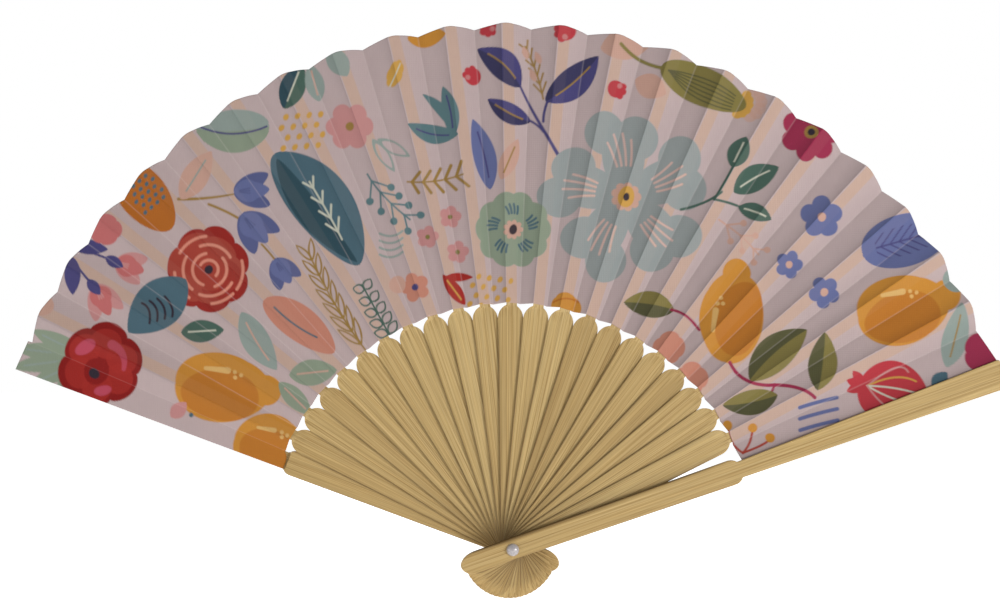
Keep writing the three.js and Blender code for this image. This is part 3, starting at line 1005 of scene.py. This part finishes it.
    def thistle(self, x, z):
        """A seed head that points down to the right, with a fringe at its end."""
        self.stroke((x - 31, z + 17), (x - 24, z + 9), (x - 13, z + 7), 1.4, OLIVE)
        for angle in (-75, -50, -25, 0, 25, 50):
            self.blob(*polar(x + 19, z - 6, 6, angle), 2.4, PEACH, strength=0.7)
        for angle in (-90, -65, -40, -15, 10, 35):
            self.blob(*polar(x + 15.5, z - 6, 4.8, angle), 1.9, BRIGHT_MUSTARD)
        self.leaf((x - 15, z + 8), (x + 19, z - 8), 15.5, OLIVE, blunt=0.5)
        for bow in (-7, -4.5, -2, 0.5, 3, 5.5):
            middle = (x + 0.4 * bow, z + bow)
            end = (x + 14 + 0.15 * bow, z - 6 + 0.45 * bow)
            self.stroke((x - 12, z + 6.5), middle, end, 0.55, OLIVE_SHADE)


def paint_top(cloth):
    cloth.leaf((-41, 203), (-26, 205), 9, ORANGE)
    for bud in ((-9, 208, 4, 270), (22, 206, 4.6, 200), (-15, 188, 4, 130), (42, 183, 4.1, -20)):
        cloth.bud(*bud)
    cloth.leaf((36, 199), (58, 204), 13, PEACH)
    cloth.leaf((50, 187), (62, 181), 10, PEACH)

    # a navy branch with a mustard sprig between its leaves
    cloth.stroke((20, 155), (10, 171), (3, 186), 1.5, NAVY, 0.8)
    cloth.stroke((13, 170), (13, 174), (15, 179), 1.0, NAVY)
    cloth.stroke((13, 166), (10, 170), (6, 171), 0.9, NAVY)
    cloth.leaf((4, 184), (-13, 199), 11.5, NAVY, MUSTARD, NAVY_SHADE, bend=-2)
    cloth.leaf((14, 178), (35, 196), 12, NAVY, MUSTARD, NAVY_SHADE, bend=-1.5)
    cloth.leaf((8, 170), (-9, 179), 8, NAVY, MUSTARD, NAVY_SHADE, bend=1)
    cloth.sprig((13, 179), (11, 190), (6, 200), 6, 5, 0.6, MUSTARD, cloth.twig, 30)
    for x, z in ((10, 186), (12, 193), (7, 195)):
        cloth.leaf((x, z), (x - 2, z + 5), 2.5, PEACH)

    cloth.blob(-46, 189, 6, BRIGHT_MUSTARD, 7, 0.12, 70, 0.5)
    cloth.stroke((-48, 184), (-46, 188), (-44, 193), 0.5, PALE)
    cloth.thistle(75, 184)
    cloth.blob(90, 194, 3, BRIGHT_MUSTARD)
    cloth.small_flower(120, 166, 14, CRIMSON, 7, MUSTARD, 100, 0.19)
    cloth.blob(120, 166, 1.4, DARK)


def paint_middle(cloth):
    cloth.wide_flower(46, 140, 35, GREY_BLUE, 22)
    cloth.round_flower(1, 127, 15.5, SAGE, TEAL, 18)
    cloth.leaf((-8, 143), (-15, 171), 9, BLUE, NAVY, bend=-1)
    cloth.leaf((-4, 147), (3, 163), 7, PEACH, MUSTARD)
    cloth.leaf((-21, 165), (-41, 169), 7.5, SPRIG_TEAL, NAVY, bend=2)
    cloth.leaf((-22, 166), (-35, 181), 4.5, SPRIG_TEAL, bend=-1.5)
    cloth.leaf((-23, 164), (-27, 184), 6.5, SPRIG_TEAL, NAVY, bend=-1)
    cloth.outlined_leaf((-55, 163), (-46, 150), 5, GREY_GREEN)
    cloth.outlined_leaf((-53, 163), (-40, 156), 5, GREY_GREEN)
    cloth.sprig((-19, 149), (-30, 145), (-41, 146), 5, 6.5, 1.1, MUSTARD, cloth.twig, 125)
    cloth.sprig((-57, 149), (-52, 140), (-40, 131), 4, 8.5, 1.5, SPRIG_TEAL, cloth.berry, 38)
    for z in (117, 119.8, 122.6, 125.4):
        cloth.stroke((-52, z), (-47, z - 2.5), (-43, z + 1), 0.9, GREY_GREEN)
    cloth.small_flower(-64, 168, 10.5, PINK, 6, MUSTARD, 60, 0.16)
    for x, z in ((-24, 132), (-33, 124), (-21, 118)):
        cloth.small_flower(x, z, 4.6, PINK, 5, OLIVE, 80)
    cloth.small_flower(-38, 104, 6, SALMON, 5, NAVY, 40, 0.22)
    cloth.blob(-45, 105, 3.4, PEACH)
    cloth.leaf((-18, 97), (-27, 109), 5.5, RED, BRIGHT_MUSTARD)
    cloth.leaf((-26, 108), (-15, 108), 3.5, RED)
    cloth.dots(-9, 102, 4, 4, 1.3, BRIGHT_MUSTARD, -8)
    cloth.blob(22, 96, 6, ORANGE, 4, 0.1)
    cloth.stroke((17, 98), (22, 101), (27, 98), 0.6, ORANGE_SHADE)


def paint_right(cloth):
    # a dark green twig of three leaves, over faint berries
    cloth.stroke((68, 135), (78, 137), (84, 142), 1.0, DARK_GREEN)
    cloth.stroke((81, 139), (86, 147), (89, 153), 1.0, DARK_GREEN)
    cloth.stroke((81, 139), (87, 138), (92, 136), 1.0, DARK_GREEN)
    cloth.leaf((88, 152), (94, 164), 8.5, DARK_GREEN, PALE)
    cloth.leaf((89, 142), (107, 152), 10.5, DARK_GREEN, PALE, bend=0.8)
    cloth.leaf((91, 136), (104, 131), 7, DARK_GREEN, PALE, bend=0.5)
    cloth.sprig((83, 131), (91, 126), (99, 117), 3, 7, 1.3, PEACH, cloth.berry)

    cloth.small_flower(124, 132, 8.8, BLUE)
    cloth.small_flower(111, 113, 5.8, BLUE, turn=70, dot=0.25)
    cloth.small_flower(125, 102, 6.6, BLUE, turn=50, dot=0.25)
    cloth.leaf((140, 118), (176, 128), 21, BLUE, NAVY, ribs=4, blunt=0.5)
    cloth.fruit(156, 95, 19.5, 0.7, 10, (174, 101))

    # a hanging fruit on a crimson branch with olive leaves
    cloth.fruit(88, 92, 18.5, 0.7, 80, (90, 110))
    cloth.leaf((65, 95), (45, 98), 10.5, OLIVE, shade=OLIVE_SHADE, bend=-0.8)
    cloth.stroke((64, 95), (70, 94), (75, 87), 1.1, CRIMSON)
    cloth.stroke((87, 74), (92, 64), (105, 65), 1.4, CRIMSON)
    cloth.stroke((105, 65), (116, 65), (121, 60), 1.4, CRIMSON)
    cloth.stroke((105, 65), (104, 61), (100, 60), 1.0, CRIMSON)
    cloth.leaf((95, 67), (118, 87), 14, OLIVE, shade=OLIVE_SHADE, bend=1.5)
    cloth.leaf((122, 63), (125, 86), 11.5, OLIVE, shade=OLIVE_SHADE, bend=-1)
    cloth.leaf((106, 61), (84, 57), 10, OLIVE, shade=OLIVE_SHADE, bend=1)

    cloth.split_fruit(152, 62, 13.5, 165)
    cloth.leaf((174, 72), (180, 98), 10.5, GREY_GREEN, MUSTARD, bend=-1)
    cloth.blob(178, 107, 5, GREY_GREEN)
    cloth.blob(190, 78, 9, CRIMSON, 5, 0.12)
    cloth.leaf((168, 64), (174, 70), 6, TEAL)
    for z in (47, 51.5, 56):
        cloth.stroke((115, z), (121, z + 2), (130, z + 4), 1.5, BLUE)
    cloth.blob(63, 80, 6.5, SALMON, 4, 0.15)
    cloth.blob(72, 68, 6.5, SALMON, 4, 0.15)
    for x, z in ((86, 49), (96, 48), (103, 44)):
        cloth.stroke((92, 38), (x, 42), (x, z), 0.9, ROSE)
        cloth.blob(x, z, 1.9, ORANGE)


def paint_left(cloth):
    # a large teal leaf with a pale twig on it
    cloth.leaf((-94, 157), (-60, 113), 24, TEAL, bend=3, blunt=0.6)
    cloth.leaf((-93, 155), (-61, 114), 10, TEAL_SHADE, bend=-3)
    cloth.sprig((-67, 123), (-72, 133), (-80, 146), 4, 6, 0.7, PALE, cloth.twig, 30)

    cloth.leaf((-96, 168), (-125, 167), 17, GREY_GREEN, shade=SAGE, bend=1.5, blunt=0.5)
    cloth.stroke((-97, 168), (-110, 162), (-124, 168), 0.7, NAVY)
    cloth.leaf((-90, 175), (-83, 193), 10, DARK_GREEN, PALE, TEAL_SHADE)
    cloth.leaf((-76, 178), (-80, 193), 7.5, GREY_GREEN, PEACH)
    cloth.leaf((-65, 188), (-73, 200), 8.5, GREY_GREEN)
    cloth.dots(-84, 166, 4, 4, 1.4, BRIGHT_MUSTARD, 5)

    # blue tulips on mustard stems
    cloth.stroke((-132, 139), (-120, 139), (-110, 141), 1.3, MUSTARD, 0.7)
    cloth.stroke((-120, 137), (-112, 134), (-106, 130), 1.0, MUSTARD)
    cloth.stroke((-99, 121), (-96, 118), (-93, 114), 0.8, MUSTARD)
    cloth.tulip((-110, 142), (-95, 143), 14, BLUE, BLUE_SHADE)
    cloth.tulip((-107, 133), (-96, 121), 15, BLUE, BLUE_SHADE)
    cloth.tulip((-94, 115), (-87, 105), 12, BLUE, BLUE_SHADE)

    cloth.leaf((-131, 139), (-119, 158), 10.5, PEACH, GREY_GREEN)
    cloth.leaf((-156, 153), (-135, 127), 19, ORANGE_SHADE, blunt=0.5)
    cloth.dots(-146, 142, 4, 6, 0.95, TEAL, 40)
    cloth.rose(-120, 111, 17)
    for tip in ((-190, 87), (-198, 80), (-199, 72), (-191, 65), (-181, 61)):
        cloth.leaf((-168, 76), tip, 7.5, SAGE, GREY_GREEN)
    cloth.red_flower(-163, 73, 17)

    # red tulips on navy stems
    cloth.leaf((-175, 121), (-160, 119), 6, NAVY)
    cloth.leaf((-174, 116), (-174, 101), 6.5, NAVY)
    cloth.stroke((-172, 120), (-165, 117), (-156, 114), 0.9, NAVY)
    cloth.stroke((-174, 115), (-170, 109), (-165, 104), 0.9, NAVY)
    cloth.tulip((-157, 114), (-145, 110), 13, TULIP, PINK)
    cloth.tulip((-165, 105), (-159, 92), 13, TULIP, PINK)
    cloth.leaf((-161, 116), (-154, 112), 4.5, NAVY)
    cloth.leaf((-168, 107), (-163, 101), 4.5, NAVY)
    cloth.blob(-161, 127, 6.5, TULIP, 5, 0.12)

    cloth.leaf((-129, 107), (-152, 86), 19, TEAL)
    for step in (-4.5, -1.5, 1.5, 4.5):
        start, end = (-142 + step, 99 + 0.3 * step), (-139 + step, 91 + 0.3 * step)
        cloth.stroke(start, (-138 + step, 96), end, 0.9, DARK)
    cloth.leaf((-131, 86), (-114, 87), 9, DARK_GREEN, PALE)
    cloth.fruit(-115, 64, 20, 0.68, -6, (-97, 63))
    cloth.fruit(-96, 41, 15, 0.8, -10)
    cloth.leaf((-98, 99), (-70, 78), 14, SALMON, bend=1, blunt=0.55)
    cloth.stroke((-94, 96), (-86, 88), (-77, 84), 0.7, TEAL)
    cloth.leaf((-107, 94), (-93, 71), 11, GREY_GREEN, PEACH, bend=-1)
    cloth.leaf((-88, 69), (-69, 71), 10.5, SAGE, PEACH)
    cloth.leaf((-92, 66), (-79, 53), 7.5, SAGE, PEACH)
    cloth.sprig((-57, 78), (-70, 95), (-80, 117), 7, 12, 2.9, MUSTARD, cloth.outlined_leaf, 21)
    cloth.sprig((-47, 83), (-52, 92), (-59, 105), 5, 6.5, 4.2, DARK_GREEN, cloth.outlined_leaf, 55)
    cloth.blob(-186, 97, 4.5, PEACH)
    cloth.leaf((-135, 52), (-129, 58), 6, PINK)
    cloth.blob(-127, 53, 0.9, TEAL)


def paint(x, z):
    """The print's colour at places on the open fan, seen from the front."""
    cloth = Print(x, z)
    for part in (paint_top, paint_middle, paint_right, paint_left):
        part(cloth)
    return cloth.colour


# ---- Materials ----


class Nodes:
    """A material's node tree, with short calls for what the looks need."""

    def __init__(self, name):
        self.material = bpy.data.materials.new(name)
        self.material.use_nodes = True
        self.tree = self.material.node_tree
        self.shader = self.tree.nodes["Principled BSDF"]

    def add(self, kind, inputs=None, **settings):
        node = self.tree.nodes.new(kind)
        for key, value in settings.items():
            setattr(node, key, value)
        for key, value in (inputs or {}).items():
            self.set(node.inputs[key], value)
        return node

    def set(self, socket, value):
        if isinstance(value, bpy.types.NodeSocket):
            self.tree.links.new(value, socket)
        else:
            socket.default_value = value

    def attribute(self, name):
        return self.add("ShaderNodeAttribute", attribute_name=name)

    def scaled(self, vector, scale):
        node = self.add("ShaderNodeVectorMath", operation="MULTIPLY")
        self.set(node.inputs[0], vector)
        node.inputs[1].default_value = scale
        return node.outputs[0]

    def noise(self, vector, scale, detail=2.0, roughness=0.5):
        inputs = {"Vector": vector, "Scale": scale, "Detail": detail, "Roughness": roughness}
        return self.add("ShaderNodeTexNoise", inputs).outputs["Fac"]

    def math(self, operation, a, b=0.0):
        node = self.add("ShaderNodeMath", operation=operation)
        self.set(node.inputs[0], a)
        self.set(node.inputs[1], b)
        return node.outputs[0]

    def ramp(self, factor, *stops):
        node = self.add("ShaderNodeValToRGB", {"Fac": factor})
        elements = node.color_ramp.elements
        while len(elements) < len(stops):
            elements.new(0.5)
        for element, (position, colour) in zip(elements, stops):
            element.position = position
            element.color = (*colour, 1)
        return node.outputs["Color"]

    def between(self, value, low, high, new_low, new_high):
        inputs = {"Value": value, "From Min": low, "From Max": high}
        inputs.update({"To Min": new_low, "To Max": new_high})
        return self.add("ShaderNodeMapRange", inputs).outputs["Result"]

    def mix(self, blend, factor, a, b):
        node = self.add("ShaderNodeMix", data_type="RGBA", blend_type=blend)
        self.set(node.inputs["Factor"], factor)
        self.set(node.inputs["A"], a if isinstance(a, bpy.types.NodeSocket) else (*a, 1))
        self.set(node.inputs["B"], b if isinstance(b, bpy.types.NodeSocket) else (*b, 1))
        return node.outputs["Result"]

    def shaded(self, colour, factor, dark, light):
        """The colour, darkened where the factor is low: dark and light are (factor, share)."""
        stops = [(position, grey(share)) for position, share in (dark, light)]
        return self.mix("MULTIPLY", 1.0, colour, self.ramp(factor, *stops))

    def bump(self, height, distance, strength):
        inputs = {"Height": height, "Distance": distance, "Strength": strength}
        return self.add("ShaderNodeBump", inputs).outputs["Normal"]


def grey(value):
    return (value, value, value)


def bamboo_material():
    nodes = Nodes("bamboo")
    grain = nodes.attribute("grain").outputs["Vector"]
    tone = nodes.attribute("tone").outputs["Fac"]
    broad = nodes.noise(nodes.scaled(grain, (0.9, 0.9, 0.012)), 1.0, 3.0)
    fibre = nodes.noise(nodes.scaled(grain, (2.7, 2.7, 0.012)), 1.0, 3.0, 0.6)
    fine = nodes.noise(nodes.scaled(grain, (4.5, 4.5, 0.05)), 1.0, 2.0)
    colour = nodes.ramp(
        fibre,
        (0.34, srgb(162, 131, 78)),
        (0.45, srgb(189, 160, 104)),
        (0.56, srgb(198, 170, 115)),
        (0.70, srgb(207, 181, 127)),
    )
    colour = nodes.shaded(colour, broad, (0.3, 0.86), (0.7, 1.0))
    tints = (0.0, (0.86, 0.82, 0.75)), (0.5, (0.97, 0.95, 0.91)), (1.0, (1.04, 1.04, 1.03))
    colour = nodes.mix("MULTIPLY", 1.0, colour, nodes.ramp(tone, *tints))
    colour = nodes.shaded(colour, fine, (0.36, 0.84), (0.56, 1.0))
    # Painted shade along the sticks' long edges, where they overlap.
    edge = nodes.attribute("edge").outputs["Fac"]
    painted_edge_shade = nodes.ramp(edge, (0.0, grey(1.0)), (1.0, (0.30, 0.25, 0.17)))
    colour = nodes.mix("MULTIPLY", 1.0, colour, painted_edge_shade)
    nodes.set(nodes.shader.inputs["Base Color"], colour)
    nodes.set(nodes.shader.inputs["Roughness"], nodes.between(fibre, 0.3, 0.7, 0.62, 0.46))
    deep, shallow = nodes.math("MULTIPLY", fibre, 0.6), nodes.math("MULTIPLY", fine, 0.4)
    height = nodes.math("ADD", deep, shallow)
    nodes.set(nodes.shader.inputs["Normal"], nodes.bump(height, 0.00008, 0.6))
    nodes.shader.inputs["Specular IOR Level"].default_value = 0.35
    return nodes.material


def cloth_material(name, back):
    """Printed cloth: the ribs show through its front, and the print shows faintly behind."""
    nodes = Nodes(name)
    place = nodes.add("ShaderNodeTexCoord").outputs["Object"]
    printed = nodes.attribute("print").outputs["Color"]
    if back:
        printed = nodes.mix("MIX", 0.55, printed, srgb(216, 202, 200))
    else:
        strip = nodes.attribute("strip").outputs["Fac"]
        bare = nodes.mix("MULTIPLY", 1.0, printed, (1.03, 0.93, 0.8))
        bare = nodes.mix("MIX", 0.15, bare, srgb(203, 166, 132))
        inked = nodes.mix("MIX", 0.025, printed, srgb(212, 186, 168))
        tinted = nodes.mix("MIX", nodes.attribute("ink").outputs["Fac"], bare, inked)
        printed = nodes.mix("MIX", strip, printed, tinted)
    crease = nodes.attribute("crease").outputs["Fac"]
    worn = nodes.math("MULTIPLY", nodes.math("MAXIMUM", crease, 0.0), WORN_FOLD)
    printed = nodes.mix("MIX", worn, printed, srgb(222, 208, 206))
    # Painted shade left of the front folds, from the crease's negative part.
    fold_shading = nodes.math("MULTIPLY", nodes.math("MINIMUM", crease, 0.0), FOLD_SHADE)
    printed = nodes.shaded(printed, nodes.math("ADD", fold_shading, 1.0), (0.0, 0.0), (1.0, 1.0))
    printed = nodes.shaded(printed, nodes.noise(place, 60.0, 3.0), (0.3, 0.96), (0.7, 1.0))
    slub = nodes.noise(nodes.scaled(place, (2600.0, 1.0, 240.0)), 1.0, 2.0)
    printed = nodes.shaded(printed, slub, (0.3, 0.955), (0.7, 1.0))
    nodes.set(nodes.shader.inputs["Base Color"], printed)
    nodes.set(nodes.shader.inputs["Roughness"], nodes.between(slub, 0.3, 0.7, 0.82, 0.94))
    weft = nodes.add("ShaderNodeTexWave", {"Vector": place, "Scale": 420.0}, bands_direction="Z")
    warp = nodes.add("ShaderNodeTexWave", {"Vector": place, "Scale": 420.0}, bands_direction="X")
    weave = nodes.math("ADD", weft.outputs["Fac"], warp.outputs["Fac"])
    weave = nodes.math("ADD", weave, nodes.math("MULTIPLY", slub, 1.2))
    nodes.set(nodes.shader.inputs["Normal"], nodes.bump(weave, 0.00004, 0.5))
    nodes.shader.inputs["Specular IOR Level"].default_value = 0.15
    nodes.shader.inputs["Sheen Weight"].default_value = 0.12
    nodes.shader.inputs["Sheen Roughness"].default_value = 0.5
    return nodes.material


def pearl_material():
    nodes = Nodes("pearl")
    place = nodes.add("ShaderNodeTexCoord").outputs["Object"]
    cloud = nodes.noise(place, 700.0, 3.0)
    colour = nodes.ramp(cloud, (0.35, srgb(160, 156, 160)), (0.65, srgb(188, 182, 182)))
    nodes.set(nodes.shader.inputs["Base Color"], colour)
    nodes.set(nodes.shader.inputs["Roughness"], nodes.between(cloud, 0.3, 0.7, 0.24, 0.36))
    nodes.set(nodes.shader.inputs["Normal"], nodes.bump(cloud, 0.00003, 0.3))
    nodes.shader.inputs["Metallic"].default_value = 0.15
    nodes.shader.inputs["Coat Weight"].default_value = 0.5
    nodes.shader.inputs["Coat Roughness"].default_value = 0.28
    return nodes.material


def floor_material():
    nodes = Nodes("floor")
    place = nodes.add("ShaderNodeTexCoord").outputs["Object"]
    mottle = nodes.noise(place, 6.0, 3.0)
    colour = nodes.ramp(mottle, (0.3, grey(0.93)), (0.7, grey(0.96)))
    nodes.set(nodes.shader.inputs["Base Color"], colour)
    nodes.shader.inputs["Roughness"].default_value = 0.9
    nodes.shader.inputs["Specular IOR Level"].default_value = 0.0
    nodes.shader.inputs["Emission Color"].default_value = (1, 1, 1, 1)
    nodes.shader.inputs["Emission Strength"].default_value = 0.75
    return nodes.material


# ---- Studio ----


def build_floor():
    half, height = FLOOR_SIZE / 2, -(GUARD_HEAD_REACH + 1) * MM
    sides = ((-half, -half), (half, -half), (half, half), (-half, half))
    corners = np.array([(x, y, height) for x, y in sides])
    floor = make_object("floor", corners / MM, [(0, 1, 2, 3)])
    floor.data.materials.append(floor_material())


def build_world():
    """Soft white light all round, and a plain white that only the camera sees."""
    world = bpy.data.worlds.new("studio")
    world.use_nodes = True
    tree = world.node_tree
    soft = tree.nodes["Background"]
    soft.inputs["Color"].default_value = (1, 1, 1, 1)
    soft.inputs["Strength"].default_value = WORLD_STRENGTH
    plain = tree.nodes.new("ShaderNodeBackground")
    plain.inputs["Color"].default_value = (1, 1, 1, 1)
    seen = tree.nodes.new("ShaderNodeLightPath")
    mix = tree.nodes.new("ShaderNodeMixShader")
    tree.links.new(seen.outputs["Is Camera Ray"], mix.inputs[0])
    tree.links.new(soft.outputs[0], mix.inputs[1])
    tree.links.new(plain.outputs[0], mix.inputs[2])
    tree.links.new(mix.outputs[0], tree.nodes["World Output"].inputs[0])
    bpy.context.scene.world = world


def build_softbox(name, place, size, power):
    """A round lamp that is aimed at the leaf."""
    light = bpy.data.lights.new(name, "AREA")
    light.shape, light.size, light.energy = "DISK", size, power
    lamp = bpy.data.objects.new(name, light)
    bpy.context.scene.collection.objects.link(lamp)
    lamp.location = place
    aim = Vector(LIGHT_TARGET) - Vector(place)
    lamp.rotation_euler = aim.to_track_quat("-Z", "Y").to_euler()


def build_camera():
    data = bpy.data.cameras.new("camera")
    data.sensor_width = 36
    data.lens = data.sensor_width * CAMERA_DISTANCE / VIEW_WIDTH
    camera = bpy.data.objects.new("camera", data)
    bpy.context.scene.collection.objects.link(camera)
    turn = math.radians(CAMERA_AZIMUTH)
    back = Vector((math.sin(turn), -math.cos(turn), 0))
    camera.location = Vector(VIEW_CENTRE) + back * CAMERA_DISTANCE
    camera.rotation_euler = (math.pi / 2, 0, turn)
    bpy.context.scene.camera = camera


bpy.context.scene.view_settings.view_transform = "Standard"
build_camera()
build_world()
build_floor()
for softbox in SOFTBOXES:
    build_softbox(*softbox)

bamboo = bamboo_material()
build_sticks(bamboo)
build_guards(bamboo)
build_rivet(pearl_material())
build_leaf(cloth_material("printed cloth", False), cloth_material("cloth back", True))
